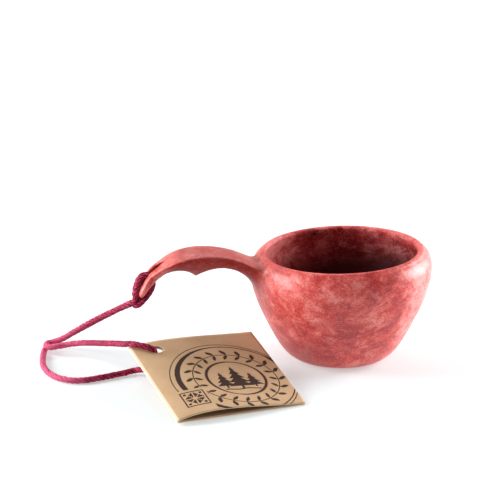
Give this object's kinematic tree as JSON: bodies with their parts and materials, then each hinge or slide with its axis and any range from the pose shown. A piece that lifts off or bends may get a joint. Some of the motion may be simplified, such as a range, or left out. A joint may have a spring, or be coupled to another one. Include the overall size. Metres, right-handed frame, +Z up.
{
  "type": "kuksa cup",
  "caption": "Small moulded drinking cup with an arched, slotted grip handle, a looped cord hitched to its tip and a folded square hang-tag on the cord.",
  "frame": {"origin": "centre of the cup's flat base, on the surface it stands on", "axes": "+Z up along the bowl's axis; -X along the handle, from the bowl towards its tip"},
  "size_m": [0.2, 0.1292, 0.0608],
  "materials": {
    "moulding": "satin wood-fibre composite, marbled",
    "cord": "soft twisted cord",
    "tag_cover": "uncoated kraft card",
    "tag_inside": "uncoated kraft card, a shade darker"
  },
  "bodies": {
    "cup": {"cup": "moulding", "cord_hitch": "cord", "cord_upper_strand": "cord", "cord_lower_strand": "cord", "cord_end_knot": "cord", "tag_inner_leaf": "tag_inside", "tag_back_leaf": "tag_cover"},
    "tag_cover": {"tag_cover_leaf": "tag_cover"}
  },
  "joints": [
    {"name": "tag_cover_open", "type": "hinge", "parent": "cup", "child": "tag_cover", "pos_m": [-0.10527, -0.05119, 0.00992], "axis": [0.2009, -0.9475, -0.2487], "range_deg": [0, 100], "deforming": ["cord_upper_strand"]}
  ]
}
